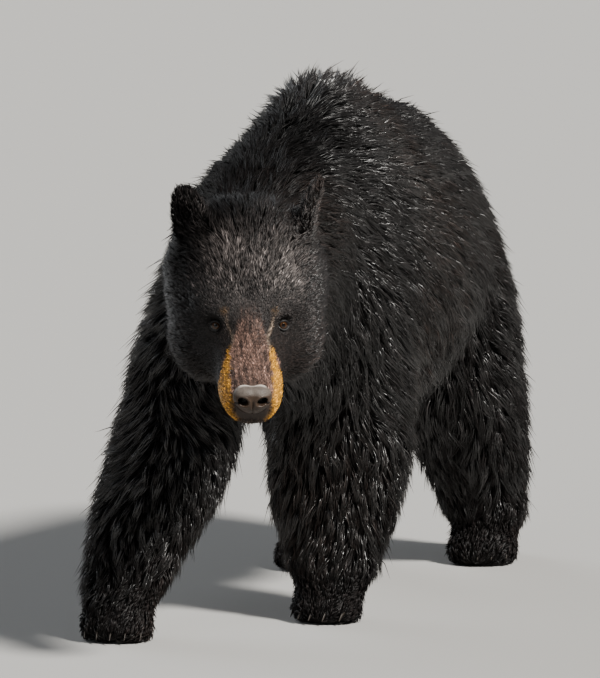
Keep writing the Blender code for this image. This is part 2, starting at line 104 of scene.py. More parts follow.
# the same on the muzzle, and what is added to it on the face, the crown and the low cheeks
HEAD_COAT = np.array((
    (0.0058, 0.0095, 0.026, 0.024),
    (0.0022, 0.0048, 0.014, 0.006),
    (0.05, 0.08, 0.05, 0.18),
    (0.05, 0.0, 0.38, 0.0),
    (370, -70, -170, 0.0),
    (0.0036, 0.0028, 0.0040, 0.0),
    (0.00105, 0.00035, 0.00050, 0.0),
    (0.36, 0.0, 0.0, 0.0),
))

# the lie of the coat on each part, in body axes: outwards, backwards, upwards
LIE = {
    "neck": (0.10, 1.0, -0.55),
    "chest": (0.05, 0.62, -1.0),
    "belly": (0.0, 0.75, -1.0),
    "rump": (0.0, 0.50, -1.0),
    "tail": (0.0, 0.35, -1.0),
    "foreleg_left": (0.0, 0.10, -1.0),
    "foreleg_right": (0.15, -0.30, -1.0),
    "hind_leg_left": (0.05, 0.22, -1.0),
    "hind_leg_right": (0.05, 0.08, -1.0),
}

BLACK = np.array((0.0048, 0.0042, 0.0045))
SUNBURNT = np.array((0.018, 0.010, 0.0065))
# greyer dry hair, also painted on the forehead as a sheen
DRY_GREY_AND_SHEEN = np.array((0.0240, 0.0205, 0.0195))
TAN = np.array((0.40, 0.192, 0.022))
BRIDGE_BROWN = np.array((0.135, 0.080, 0.062))
PALE = np.array((0.36, 0.27, 0.20))
LIP = np.array((0.026, 0.017, 0.013))

# outlines of the face's markings: places ahead of the brows, then the outline at each of them
TAN_LOWER = ((0.04, 0.07, 0.09, 0.11), (0, -22, -34, -44))  # degrees round the muzzle
TAN_INNER = ((0.055, 0.090, 0.120, 0.140, 0.156), (0.0300, 0.0305, 0.0325, 0.0315, 0.0255))
TAN_OUTER = ((0.055, 0.065, 0.083, 0.092, 0.100), (0.0315, 0.0350, 0.0420, 0.050, 0.090))
BRIDGE_EDGE = ((0.0, 0.020, 0.045, 0.063, 0.080), (0.014, 0.018, 0.0245, 0.0295, 0.060))
PALE_LINE = ((0.014, 0.030, 0.045, 0.062), (0.0355, 0.0305, 0.0255, 0.0285))

# tan spots: place on the head, strength, width
SPOTS = (
    ((0.005, 0.038, 0.021), 0.16, 0.0050),
    ((0.005, -0.038, 0.021), 0.16, 0.0050),
    ((-0.055, -0.016, 0.078), 0.30, 0.0055),
)
# greyer areas of the forehead, in part a painted sheen where it catches the sun: ahead, left, strength,
# width, share of the way ahead that counts
GREY_AND_SHEEN_PATCHES = (
    (-0.052, 0.052, 0.85, 0.034, 1.0),
    (-0.088, -0.030, 0.55, 0.030, 1.0),
    (-0.020, -0.014, 0.40, 0.009, 0.4),
)


# ---- small helpers
def unit(vectors):
    return vectors / np.maximum(np.linalg.norm(vectors, axis=-1, keepdims=True), 1e-9)


def lengths(vectors):
    return np.linalg.norm(vectors, axis=1)


def ramp(low, high, values):
    """A smooth step from 0 at low to 1 at high; low may be the greater."""
    share = np.clip((values - low) / (high - low), 0.0, 1.0)
    return share * share * (3.0 - 2.0 * share)


def bump(distance, width):
    return np.exp(-(distance / width) ** 2)


def ripple(points, wavelength, seed):
    """Smooth noise from -1 to 1: a sum of waves that run in random directions."""
    random = np.random.default_rng(seed)
    headings = unit(random.normal(size=(7, 3)))
    waves = headings * (2 * math.pi / wavelength) * random.uniform(0.7, 1.4, (7, 1))
    phases = random.uniform(0, 2 * math.pi, 7)
    return np.clip(np.sin(points @ waves.T + phases).sum(1) / 3.2, -1.0, 1.0)


def read(collection, field, width, kind=np.float32):
    """One field of a mesh's vertices, edges or triangles, as rows of that width."""
    values = np.empty(len(collection) * width, kind)
    collection.foreach_get(field, values)
    return values.reshape(-1, width)


def write(collection, field, values, kind=np.float32):
    collection.foreach_set(field, np.ascontiguousarray(values, kind).ravel())


def coordinates(mesh):
    return read(mesh.vertices, "co", 3).astype(float)


def normals_of(mesh):
    return read(mesh.vertex_normals, "vector", 3).astype(float)


def triangles_of(mesh):
    mesh.calc_loop_triangles()
    return read(mesh.loop_triangles, "vertices", 3, np.int32)


def edges_of(mesh):
    return read(mesh.edges, "vertices", 2, np.int32)


def move_vertices(mesh, points):
    write(mesh.vertices, "co", points)
    mesh.update()


def smoothed(values, edges, passes, weight=0.5):
    """Values on vertices, drawn towards their neighbours' mean by weight in each pass."""
    values = values.astype(float).copy()
    first, second = edges[:, 0], edges[:, 1]
    size = len(values)
    count = np.maximum(np.bincount(edges.ravel(), minlength=size), 1)
    for _ in range(passes):
        total = np.empty_like(values)
        for column in range(values.shape[1]):
            total[:, column] = (np.bincount(first, values[second, column], size)
                                + np.bincount(second, values[first, column], size))
        values += weight * (total / count[:, None] - values)
    return values


def triangle_mesh(name, points, triangles):
    mesh = bpy.data.meshes.new(name)
    mesh.vertices.add(len(points))
    write(mesh.vertices, "co", points)
    mesh.loops.add(triangles.size)
    write(mesh.loops, "vertex_index", triangles, np.int32)
    mesh.polygons.add(len(triangles))
    write(mesh.polygons, "loop_start", np.arange(0, triangles.size, 3), np.int32)
    mesh.update(calc_edges=True)
    mesh.shade_smooth()
    return mesh


def add_attribute(mesh, name, kind, values):
    field = {"FLOAT_COLOR": "color", "FLOAT_VECTOR": "vector"}[kind]
    write(mesh.attributes.new(name, kind, "POINT").data, field, values)


def mesh_from(form, name):
    """A smooth mesh of that name, made of a bmesh that isn't needed any longer."""
    mesh = bpy.data.meshes.new(name)
    form.to_mesh(mesh)
    form.free()
    mesh.shade_smooth()
    return mesh


def add_object(name, data):
    made = bpy.data.objects.new(name, data)
    bpy.context.scene.collection.objects.link(made)
    return made


def add_piece(name, mesh, material, slot, *replaced, turn=None, place=(0, 0, 0)):
    """A piece of the bear, turned and set in place where its mesh isn't there already."""
    piece = add_object(name, mesh)
    mesh.materials.clear()
    mesh.materials.append(material)
    if turn is not None:
        piece.rotation_mode = "QUATERNION"
        piece.rotation_quaternion = turn
    piece.location = place
    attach(piece, "root")
    if replaced:
        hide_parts(*replaced)
    return piece


def centre_of(node):
    low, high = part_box(node)
    return (np.array(low) + np.array(high)) / 2


# ---- the head's own directions
SIDES = {1: "left", -1: "right"}
EYES = {side: centre_of(f"eye_{name}") for side, name in SIDES.items()}
EYE_MIDDLE = (EYES[1] + EYES[-1]) / 2
LEFT = unit(EYES[1] - EYES[-1])
HEAD_YAW = math.atan2(LEFT[1], LEFT[0])
FORWARD = np.array((
    math.sin(HEAD_YAW) * math.cos(HEAD_PITCH),
    -math.cos(HEAD_YAW) * math.cos(HEAD_PITCH),
    -math.sin(HEAD_PITCH),
))
UP = np.cross(FORWARD, LEFT)
HEAD_AXES = np.array((FORWARD, LEFT, UP))
BROW = EYE_MIDDLE - FORWARD * EYE_AHEAD + UP * EYE_DROP

NOSE_HALF = np.array((0.0300, 0.0190, 0.0200))  # half width, half depth, half height
NOSE_TILT = math.radians(20)  # the front of the pad faces up by this much
NOSE_DROP = 1.30  # its lower half is this much taller
NOSTRIL = (0.0146, -0.0015)  # off the middle line, above the pad's middle
NOSTRIL_HALF = (0.0078, 0.0066)  # half width and half height of its opening
NOSE_MIDDLE = centre_of("nose_pad") - FORWARD * 0.0035
NOSE_AXES = np.array((
    LEFT,
    FORWARD * math.cos(NOSE_TILT) + UP * math.sin(NOSE_TILT),
    UP * math.cos(NOSE_TILT) - FORWARD * math.sin(NOSE_TILT),
))


def to_head(points):
    """Ahead, left and up from the point between the brows."""
    return (points - BROW) @ HEAD_AXES.T


def to_nose(points):
    """Across, ahead and up from the middle of the nose pad, in its own tilted directions."""
    return (points - NOSE_MIDDLE) @ NOSE_AXES.T


def eye_axes(side):
    """Out of the eye's opening, towards its outer corner, and up along its lids."""
    out = unit(FORWARD * 0.68 + LEFT * (0.40 * side) + UP * 0.61)
    corner = unit(LEFT * side - out * (LEFT * side @ out))
    return out, corner, unit(UP - out * (UP @ out) - corner * (UP @ corner))


SKIN_ON_BALL = 0.0011  # height of the skin above the eyeball
BALL_REACH = 0.0097  # the skin lies on the ball this far from the eye's axis
SEAT_REACH = 0.019  # and it has left the ball altogether this far from it
LID_CORNER = math.radians(45)  # half the eye's opening towards its corners
LID_UPPER, LID_LOWER = math.radians(33), math.radians(37)
CORNER_POINT = math.radians(9)  # how much farther the pointed corners reach


def lid_angle(turn):
    """How far the lid's edge is from the opening's axis; turn 0 is the outer corner, 90 the top."""
    high = np.where(np.sin(turn) > 0, LID_UPPER, LID_LOWER)
    oval = 1.0 / np.sqrt((np.cos(turn) / LID_CORNER) ** 2 + (np.sin(turn) / high) ** 2)
    pointed = np.abs(np.cos(turn)) ** 14 * np.where(np.cos(turn) > 0, 0.6, 1.0)
    return oval + CORNER_POINT * pointed


# ---- markings and painted light, on skin and coat alike
def near_head(place):
    """1 on the head and 0 away from it, where other parts come near it."""
    return ramp(0.30, 0.20, lengths(place - (0.05, 0, -0.03)))


def muzzle_turn(place):
    """Angle round the muzzle: 90 degrees on its bridge, 0 at its side, -90 under the jaw."""
    ahead, left, up = place.T
    middle = -0.048 + 0.02 * np.clip(-ahead, 0.0, 0.05)
    return np.degrees(np.arctan2((up - middle) / 0.047, np.abs(left) / 0.050))


def wavering_turn(points, place):
    """The angle round the muzzle, disturbed so that the markings' edges waver."""
    return muzzle_turn(place) + 4.0 * ripple(points, 0.030, 11) + 3.0 * ripple(points, 0.009, 12)


def tan_share(points, place):
    """The tan sides of the muzzle, the spots over the eyes and the one on the forehead."""
    ahead, left, _ = place.T
    wide = np.abs(left)
    turn = wavering_turn(points, place)
    wavy = wide + (0.0016 * ripple(points, 0.022, 15) + 0.0010 * ripple(points, 0.007, 16))
    on_muzzle = ramp(0.052, 0.064, ahead) * ramp(0.075, 0.066, wide) * near_head(place)
    lower, inner, outer = (np.interp(ahead, *line) for line in (TAN_LOWER, TAN_INNER, TAN_OUTER))
    beside = np.maximum(ramp(inner - 0.0025, inner + 0.0015, wavy), ramp(32, 20, turn))
    sides = on_muzzle * beside * ramp(outer + 0.002, outer - 0.002, wavy)
    sides *= ramp(lower - 8, lower + 3, turn) * ramp(0.160, 0.148, ahead)
    chin = on_muzzle * ramp(-50, -75, turn) * ramp(0.09, 0.13, ahead) * 0.10
    spots = np.zeros(len(points))
    for spot, strength, width in SPOTS:
        spots += strength * bump(lengths(place - spot), width)
    return np.clip(sides + chin + spots, 0, 1)


def bridge_share(points, place):
    """The brown bridge of the muzzle, which narrows to a point between the brows."""
    ahead, left, _ = place.T
    turn = wavering_turn(points, place)
    edge = np.interp(ahead, *BRIDGE_EDGE)
    bridge = ramp(-0.010, 0.065, ahead) * ramp(24, 36, turn) * near_head(place)
    return bridge * ramp(edge + 0.003, edge - 0.004, np.abs(left))


def pale_share(place):
    """The pale line from the inner corner of each eye down beside the bridge."""
    ahead, left, up = place.T
    line = bump(np.abs(left) - np.interp(ahead, *PALE_LINE), 0.0019)
    line *= ramp(0.010, 0.020, ahead) * ramp(0.070, 0.058, ahead)
    return line * np.where(left > 0, 0.42, 0.16) * ramp(-0.045, -0.020, up) * near_head(place)


def dry_grey_and_sheen_share(points, place):
    """The dry, greyer fur of the forehead and of the ears; on the forehead it is in part a painted sheen
    where the sun catches it, parted by a dark line of painted shade.
    """
    ahead, left, up = place.T
    forehead = ramp(0.010, 0.045, up) * ramp(-0.135, -0.095, ahead) * ramp(0.060, 0.015, ahead)
    forehead *= ramp(0.105, 0.055, np.abs(left - 0.018))
    strength = 0.45
    for middle, side, more, width, counts in GREY_AND_SHEEN_PATCHES:
        strength = strength + more * bump(np.hypot(counts * (ahead - middle), left - side), width)
    forehead *= strength
    # painted shade: the grey is taken out along the parting's groove
    parting = bump(left + 0.004, 0.0055) * ramp(-0.010, -0.030, ahead) * ramp(-0.100, -0.075, ahead)
    forehead *= 1.0 - 0.75 * parting
    ears = ramp(-0.125, -0.145, ahead) * ramp(0.070, 0.100, up) * ramp(0.055, 0.080, np.abs(left))
    patchy = 0.75 + 0.25 * ripple(points, 0.045, 17)
    return near_head(place) * (0.10 + 0.55 * ears + 2.4 * forehead * patchy)


def lip_share(points):
    """The dark skin under and beside the nose pad."""
    across, ahead, up = to_nose(points).T
    return ramp(1.20, 0.85, np.hypot(across / 0.029, (up + 0.013) / 0.031)) * ramp(-0.022, -0.010, ahead)


def markings_and_painted_light(points):
    """The coat's colour at each point, with the dark lips, tan muzzle and brown bridge, painted shade
    over the withers and a sheen painted in part on the forehead.
    """
    place = to_head(points)
    burnt = 0.30 * ramp(-0.2, 0.9, ripple(points, 0.45, 14)) + 0.10
    # painted shade: less sunburnt brown over the withers
    burnt *= 1.0 - 0.6 * withers_dull_and_shaded(points)
    streaks = 0.72 + 0.40 * ripple(place * (0.22, 1.0, 0.45), 0.008, 13)
    colour = BLACK + (SUNBURNT - BLACK) * burnt[:, None]
    # painted shade: the colour darkened over the withers
    colour = colour * (1.0 - 0.65 * withers_dull_and_shaded(points))[:, None]
    for paint, share in (
        (DRY_GREY_AND_SHEEN, dry_grey_and_sheen_share(points, place)),
        (BRIDGE_BROWN * streaks[:, None], bridge_share(points, place)),
        (TAN, tan_share(points, place)),
        (PALE, np.clip(pale_share(place), 0, 1)),
        (LIP, lip_share(points)),
    ):
        colour = colour + (paint - colour) * share[:, None]
    return colour


# ---- the skin
FLESH = sorted(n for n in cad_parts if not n.startswith(("eye", "claw", "nose")))
FILLING = ("eye_left", "eye_right", "nose_pad")  # fill their seats while the skin is made
CLAWS = sorted(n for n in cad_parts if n.startswith("claw"))
HEAD_REGION = ((-0.18, -0.15, -0.15), (0.20, 0.15, 0.15))  # the skin has a finer grain here
FACE_REGION = ((-0.025, -0.075, -0.12), (0.20, 0.075, 0.045))  # and a finer one again here
TRUNK = ("chest", "belly", "rump")
# how much of the smoothing these parts take; the others take all of it
MELTING = {"head": 0.30, "ear": 0.0, "forepaw": 0.35, "hind_paw": 0.35, "tail": 0.4}
WET_SHOULDER = centre_of("foreleg_left") + (0.045, -0.140, 0.200)


def kind_of(node):
    return node.replace("_left", "").replace("_right", "")


def grown_flesh():
    """All flesh in one mesh, grown a little; a face's material index is its node's number."""
    form = bmesh.new()
    for number, node in enumerate([*FLESH, *FILLING]):
        part = bmesh.new()
        part.from_mesh(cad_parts[node].data)
        bmesh.ops.remove_doubles(part, verts=part.verts, dist=WELD)
        part.normal_update()
        for vert in part.verts:
            vert.co += vert.normal * CLOSE_CUTS
        for face in part.faces:
            face.material_index = number
        data = mesh_from(part, "part")
        form.from_mesh(data)
        bpy.data.meshes.remove(data)
    return form


def remeshed(form):
    data = mesh_from(form.copy(), "flesh")
    body = add_object("flesh", data)
    remesh = body.modifiers.new("Remesh", "REMESH")
    remesh.mode = "VOXEL"
    remesh.voxel_size = VOXEL
    graph = bpy.context.evaluated_depsgraph_get()
    made = bpy.data.meshes.new_from_object(body.evaluated_get(graph))
    bpy.data.objects.remove(body)
    bpy.data.meshes.remove(data)
    return made


def owners(points, tree, form):
    """The number of the flesh node nearest to each point."""
    form.faces.ensure_lookup_table()
    faces = (form.faces[tree.find_nearest(Vector(point))[2]] for point in points)
    numbers = np.array([face.material_index for face in faces])
    return np.where(numbers < len(FLESH), numbers, FLESH.index("head"))


def refine(mesh, inside):
    """Split every edge whose two ends are inside."""
    chosen = inside(coordinates(mesh))
    form = bmesh.new()
    form.from_mesh(mesh)
    edges = [edge for edge in form.edges if all(chosen[vert.index] for vert in edge.verts)]
    bmesh.ops.subdivide_edges(form, edges=edges, cuts=1, use_grid_fill=True)
    form.to_mesh(mesh)
    form.free()


def in_region(region, points):
    """Which points are within a box given in the head's directions."""
    place = to_head(points)
    return ((place > region[0]) & (place < region[1])).all(1)


def round_eyes(points):
    return np.minimum(*(lengths(points - EYES[side]) for side in EYES)) < SEAT_REACH


def head_coat(place):
    """The coat's values on the head, which change from the nose to the ruff."""
    ahead, _, up = place.T
    back = np.clip((0.012 - ahead) / 0.215, 0.0, 1.0)
    muzzle, face, crown = ramp(-0.02, 0.03, ahead), ramp(0.0, 0.35, back), ramp(0.30, 1.0, back)
    low = ramp(-0.035, -0.09, up) * ramp(0.07, -0.01, ahead)
    lips = bump(up - mouth_height(ahead), 0.006) * ramp(0.0, 0.02, ahead)
    values = np.column_stack((np.ones(len(place)), face, crown, low)) @ HEAD_COAT.T
    values[:, LENGTH] *= 1.0 - 0.25 * lips * muzzle
    values[:, DENSITY] *= 1.0 - 0.35 * low
    values[:, GLOSS] -= 0.16 * muzzle
    for side in EYES:
        beside = lengths(place - to_head(EYES[side][None]))
        values[:, LENGTH] *= 1.0 - 0.50 * bump(beside, 0.022)
        values[:, RISE] *= 1.0 - 0.80 * bump(beside, 0.025)
    return values


def mouth_height(ahead):
    """The height of the mouth's line along the muzzle."""
    return -0.0725 - 0.10 * np.clip(0.10 - ahead, 0.0, 0.12)


def body_lie(points, node):
    """As the part's own lie says, and more to the back on top of the trunk and neck."""
    outwards, back, up = LIE[node]
    side = np.sign(points[:, 0] - (CAD_BOX[0][0] + CAD_BOX[1][0]) / 2)
    flow = np.column_stack((outwards * side, np.full(len(points), back), np.full(len(points), up)))
    if node in TRUNK or node == "neck":
        top = ramp(0.62, 0.84, points[:, 2])
        flow[:, 1] += 1.5 * top
        flow[:, 0] += 0.25 * top * side
    return flow


def paw_lie(points, node):
    """Down the heel, and forwards over the toes."""
    low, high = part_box(node)
    front = ramp(0.80, 0.40, (points[:, 1] - low[1]) / (high[1] - low[1]))
    return np.column_stack((np.zeros(len(points)), 0.3 - 1.3 * front, -1.0 + 0.45 * front))


def ear_lie(points, node):
    """Up the ear to its tip."""
    side = 1 if node == "ear_left" else -1
    tip = np.array((-0.31, 0.21 * side, 0.93)) @ HEAD_AXES
    return points - (centre_of(node) - 0.045 * tip)


def head_lie(points, _):
    """Back from the nose, spreading to the sides over the cheeks."""
    ahead, left, up = to_head(points).T
    spread = ramp(0.05, -0.10, ahead)
    return np.column_stack((
        np.full(len(points), -1.0),
        (0.35 + 0.75 * spread) * left / 0.08,
        (0.15 + 0.55 * spread) * (up + 0.035) / 0.08 - 0.10,
    )) @ HEAD_AXES


OTHER_LIES = {"head": head_lie, "ear": ear_lie, "forepaw": paw_lie, "hind_paw": paw_lie}


def along_skin(flow, normals):
    """Directions of length 1 with what points off the skin taken away."""
    return unit(flow - normals * (flow * normals).sum(1)[:, None])


def lie_of(points, owner, normals):
    """The direction in which the fur lies, along the skin."""
    flow = np.zeros((len(points), 3))
    for number, node in enumerate(FLESH):
        mine = owner == number
        flow[mine] = OTHER_LIES.get(kind_of(node), body_lie)(points[mine], node)
    for side in EYES:
        away = points - EYES[side]
        near = bump(lengths(away), 0.018)[:, None]
        flow += 1.6 * near * unit(away)
    return along_skin(flow, normals)


def withers_dull_and_shaded(points):
    """The dull, dry fur behind the head and over the front of the hump, where painted shade also darkens
    its colour.
    """
    across, along, height = points.T
    return ramp(-0.02, -0.14, along) * ramp(0.54, 0.66, height) * ramp(0.17, 0.08, across)


def coat_fields(points, normals, owner, edges):
    """The coat's values and lie on every vertex of the skin, blended across the parts."""
    values = np.empty((len(points), COLUMNS))
    place = to_head(points)
    for number, node in enumerate(FLESH):
        mine = owner == number
        values[mine] = head_coat(place[mine]) if node == "head" else COAT[kind_of(node)]
    height = points[:, 2]
    crest = ramp(0.55, 0.85, normals[:, 2]) * ramp(0.70, 0.80, height)
    crest *= ramp(-0.14, -0.02, points[:, 1]) * ramp(0.30, 0.16, points[:, 1])
    crest *= bump(points[:, 0] - 0.030, 0.075)
    under = np.isin(owner, [FLESH.index(node) for node in TRUNK]) * ramp(-0.40, -0.80, normals[:, 2])
    loose = ramp(0.55, 0.80, height) * ramp(0.25, 0.0, points[:, 1])
    values[:, RISE] += 0.42 * crest + 0.45 * under
    values[:, LENGTH] += 0.010 * crest + 0.018 * under
    values[:, SPACING] += 0.005 * crest
    values[:, WET] += 0.35 * crest - 0.25 * loose
    ahead, left, up = place.T
    ruff = bump(np.abs(left) - 0.103, 0.014) * ramp(0.02, -0.01, ahead) * ramp(-0.13, -0.09, ahead)
    values[:, GLOSS] *= (1.0 - 0.90 * withers_dull_and_shaded(points)) * (1.0 + 0.25 * ripple(points, 0.12, 22))
    values[:, GLOSS] += 0.60 * bump(lengths(points - WET_SHOULDER), 0.13)
    values[:, GLOSS] += np.where(left > 0, 0.65, -0.18) * ruff * ramp(0.13, 0.10, np.abs(up + 0.03))
    values = smoothed(values, edges, FIELD_SMOOTHING // 2)
    flow = smoothed(lie_of(points, owner, normals), edges, FIELD_SMOOTHING)
    return values, along_skin(flow, normals)


def folds(points, normals):
    """How far each point of the face is raised, or pressed in where it is negative."""
    ahead, left, up = to_head(points).T
    wide = np.abs(left)
    parting = bump(left, 0.010) * ramp(0.0, -0.03, ahead) * ramp(-0.17, -0.11, ahead) * (up > 0)
    crown = bump(wide - 0.036, 0.020) * bump(ahead + 0.070, 0.040) * (up > 0)
    from_brow = np.column_stack((ahead - 0.009, wide - 0.044, up - 0.016))
    whiskers = bump(np.hypot(ahead - 0.118, up + 0.056), 0.024) * (wide > 0.02)
    cheek = bump(np.hypot(ahead - 0.052, up + 0.040), 0.018) * (wide > 0.03)
    tear = bump(np.hypot(ahead - 0.024, wide - 0.036), 0.008) * (up > -0.045)
    mouth = bump(up - mouth_height(ahead), 0.0020) * ramp(-0.005, 0.02, ahead)
    lift = -0.0050 * parting + 0.0030 * crown + 0.0045 * bump(lengths(from_brow), 0.014)
    lift += 0.0030 * whiskers - 0.0030 * cheek - 0.0022 * tear
    return lift - 0.0034 * mouth * on_the_side(normals)


def on_the_side(normals):
    """Not on top of the muzzle or flat under the jaw."""
    return np.abs(normals @ UP) < FLAT


def seat_nose(points):
    """The muzzle's end hollowed to a dish that the nose pad sits in."""
    across, ahead, up = to_nose(points).T
    tall = (NOSE_HALF[2] - 0.001) * np.where(up < 0, NOSE_DROP - 0.05, 1.0)
    reach = np.hypot(across / (NOSE_HALF[0] - 0.002), (up - 0.001) / tall)
    seat = 0.016 * np.minimum(reach, 1.3) ** 4 - 0.010
    pressed = np.where((ahead > -0.03) & (reach < 1.25), np.minimum(ahead, seat), ahead)
    return points + (pressed - ahead)[:, None] * NOSE_AXES[1]


def round_eye(points, side):
    """Along the axis of the eye's opening, off that axis, and the angle beyond the lid's edge."""
    along, across, rise = ((points - EYES[side]) @ np.transpose(eye_axes(side))).T
    radial = np.hypot(across, rise)
    angle = np.arctan2(radial, np.maximum(along, 1e-6))
    return along, radial, angle - lid_angle(np.arctan2(rise, across))


def seat_eye(points, side):
    """The skin wrapped round the eyeball, and sunk behind it in the lids' opening."""
    along, radial, beyond = round_eye(points, side)
    ball = EYE_RADIUS + SKIN_ON_BALL
    wrapped = np.sqrt(np.maximum(ball ** 2 - np.minimum(radial, BALL_REACH) ** 2, 0.0))
    target = wrapped + (along - wrapped) * ramp(0.0095, SEAT_REACH, radial)
    opening = ramp(math.radians(4), 0.0, beyond) * (radial < 0.0098)
    target = target - (target + 0.002) * opening
    near = (radial < 0.021) & (along > -0.012)
    return points + eye_axes(side)[0] * np.where(near, target - along, 0.0)[:, None]


def sculpt_head(points, normals):
    """The folds of the face, the muzzle's taper, and seats for the nose and eyes."""
    ahead, left, up = to_head(points).T
    narrower = ramp(0.045, 0.095, ahead) * (0.06 + 0.10 * ramp(-0.045, -0.085, up))
    chin = 0.007 * ramp(-0.07, -0.10, up) * ramp(0.05, 0.10, ahead)
    points = points + normals * folds(points, normals)[:, None]
    points = seat_nose(points - (narrower * left)[:, None] * LEFT + chin[:, None] * UP)
    for side in EYES:
        points = seat_eye(points, side)
    return points


def raise_toes(points, normals):
    """Rounded toes behind the claws."""
    lift = np.zeros(len(points))
    for name in CLAWS:
        kind, side = name.split("_")[1:3]
        paw = centre_of(("forepaw_" if kind == "fore" else "hind_paw_") + side)
        back = unit((paw - centre_of(name)) * (1, 1, 0))
        toe = centre_of(name) + back * 0.016 + (0, 0, 0.008)
        lift += 0.0085 * bump(lengths((points - toe) * (1, 1, 0.7)), 0.0115)
    return points + normals * lift[:, None]


def make_skin():
    """The skin's mesh, and the place, normal, coat values, lie and flesh node of its vertices."""
    form = grown_flesh()
    tree = BVHTree.FromBMesh(form)
    mesh = remeshed(form)
    points = coordinates(mesh)
    kinds = [kind_of(FLESH[number]) for number in owners(points, tree, form)]
    edges = edges_of(mesh)
    weights = smoothed(np.array([MELTING.get(kind, 1.0) for kind in kinds])[:, None], edges, 6)
    for _ in range(SMOOTHING):
        points += weights * (smoothed(points, edges, 1, 0.55) - points)
    move_vertices(mesh, points)
    for inside in (partial(in_region, HEAD_REGION), partial(in_region, FACE_REGION), round_eyes):
        refine(mesh, inside)
        soft = smoothed(coordinates(mesh), edges_of(mesh), 2)
        chosen = inside(soft)
        points = coordinates(mesh)
        points[chosen] = soft[chosen]
        move_vertices(mesh, points)
    normals = normals_of(mesh)
    edges = edges_of(mesh)
    owner = owners(points, tree, form)
    form.free()
    values, _ = coat_fields(points, normals, owner, edges)
    points = points - smoothed(normals, edges, 6) * (INSET * values[:, DEPTH:DEPTH + 1])
    points[:, 2] = np.maximum(points[:, 2], LEAST_HEIGHT)
    move_vertices(mesh, points)
    points = sculpt_head(raise_toes(points, normals_of(mesh)), normals_of(mesh))
    move_vertices(mesh, points)
    normals = normals_of(mesh)
    values, flow = coat_fields(points, normals, owner, edges)
    return mesh, points, normals, values, flow, owner


# ---- the coat
def search_tree(points):
    tree = KDTree(len(points))
    for index, point in enumerate(points):
        tree.insert(Vector(point), index)
    tree.balance()
    return tree


def found_in(tree, places):
    """The index of the tree's point nearest to each place."""
    return np.array([tree.find(place)[1] for place in places.tolist()])


class Skin:
    """What the coat needs to know of the skin it grows from."""

    def __init__(self, mesh, points, normals, values, flow, owner):
        self.points, self.normals = points, normals
        self.values, self.flow, self.owner = values, flow, owner
        self.triangles = triangles_of(mesh)
        corner = points[self.triangles]
        cross = np.cross(corner[:, 1] - corner[:, 0], corner[:, 2] - corner[:, 0])
        self.areas = 0.5 * lengths(cross)
        middles = corner.mean(1)
        cells = np.floor((middles - middles.min(0)) / SCATTER_CELL).astype(np.int64)
        self.order = np.lexsort((cells[:, 0], cells[:, 1], cells[:, 2]))
        self.tree = search_tree(points)

    def scatter(self, per_area, random):
        """Points spread over the skin, per_area of them to a square metre at each vertex."""
        weights = self.areas * per_area[self.triangles].mean(1)
        total = np.cumsum(weights[self.order])
        count = int(total[-1])
        picks = (np.arange(count) + random.uniform(0, 1, count)) * total[-1] / count
        chosen = self.order[np.minimum(np.searchsorted(total, picks), len(total) - 1)]
        first = np.sqrt(random.uniform(0, 1, count))
        second = random.uniform(0, 1, count)
        shares = np.column_stack((1 - first, first * (1 - second), first * second))
        corners = self.triangles[chosen]
        points = (self.points[corners] * shares[:, :, None]).sum(1)
        return points, corners[np.arange(count), shares.argmax(1)]


def bare_places(points, normals):
    """Where no fur grows: inside the lids, along the lips, under the nose and on the soles."""
    bare = points[:, 2] < SOLE_HEIGHT
    for side in EYES:
        along, radial, beyond = round_eye(points, side)
        near = np.hypot(along, radial) < 0.016
        bare |= (beyond < math.radians(9)) & (along > -0.002) & near
    ahead, left, up = to_head(points).T
    lips = (np.abs(up - mouth_height(ahead)) < 0.0030) & (ahead > 0.01) & (ahead < 0.17)
    bare |= lips & on_the_side(normals) & (np.abs(left) < 0.075)
    across, ahead, up = to_nose(points).T
    bare |= (np.hypot(across / 0.0295, up / 0.0195) < 1.0) & (ahead > -0.022)
    bare |= (np.abs(across) < 0.024) & (up < 0.0) & (up > -0.034) & (ahead > -0.004)
    return bare


LOCK_STEPS = 3  # straight steps in a lock's path
LOCK_SEARCH = 0.012  # tufts look for their lock this high, so not across a fold
ROOT_DEPTH = 0.0012  # how deep a tuft's root sits in the skin


class Locks:
    """Short paths over the skin, each followed by the tufts that root round its start."""

    def __init__(self, skin, random):
        self.starts, at = skin.scatter(1.0 / skin.values[:, SPACING] ** 2, random)
        count = len(self.starts)
        self.length = skin.values[at, LENGTH] * random.uniform(0.85, 1.12, count)
        turns = 0.20 * random.normal(size=count) + 0.25 * ripple(self.starts, 0.11, 21)
        reach = self.length * (1.0 - 0.75 * skin.values[at, RISE]) / LOCK_STEPS
        paths, normals, index = [self.starts], [skin.normals[at]], at
        for _ in range(LOCK_STEPS):
            normal, flow = skin.normals[index], skin.flow[index]
            side = np.cross(normal, flow)
            heading = unit(flow * np.cos(turns)[:, None] + side * np.sin(turns)[:, None])
            place = paths[-1] + heading * reach[:, None]
            index = found_in(skin.tree, place)
            normal = skin.normals[index]
            place = place - normal * ((place - skin.points[index]) * normal).sum(1)[:, None]
            paths.append(place)
            normals.append(normal)
        self.paths, self.normals = np.stack(paths, 1), np.stack(normals, 1)
        self.height = random.uniform(0.62, 1.0, count)
        self.shade = random.uniform(0.50, 1.50, count)
        self.gloss = 0.20 + 1.9 * random.uniform(0.0, 1.0, count) ** 2
        self.tree = search_tree(self.starts + skin.normals[at] * LOCK_SEARCH)

    def nearest(self, roots, normals):
        return found_in(self.tree, roots + normals * LOCK_SEARCH)


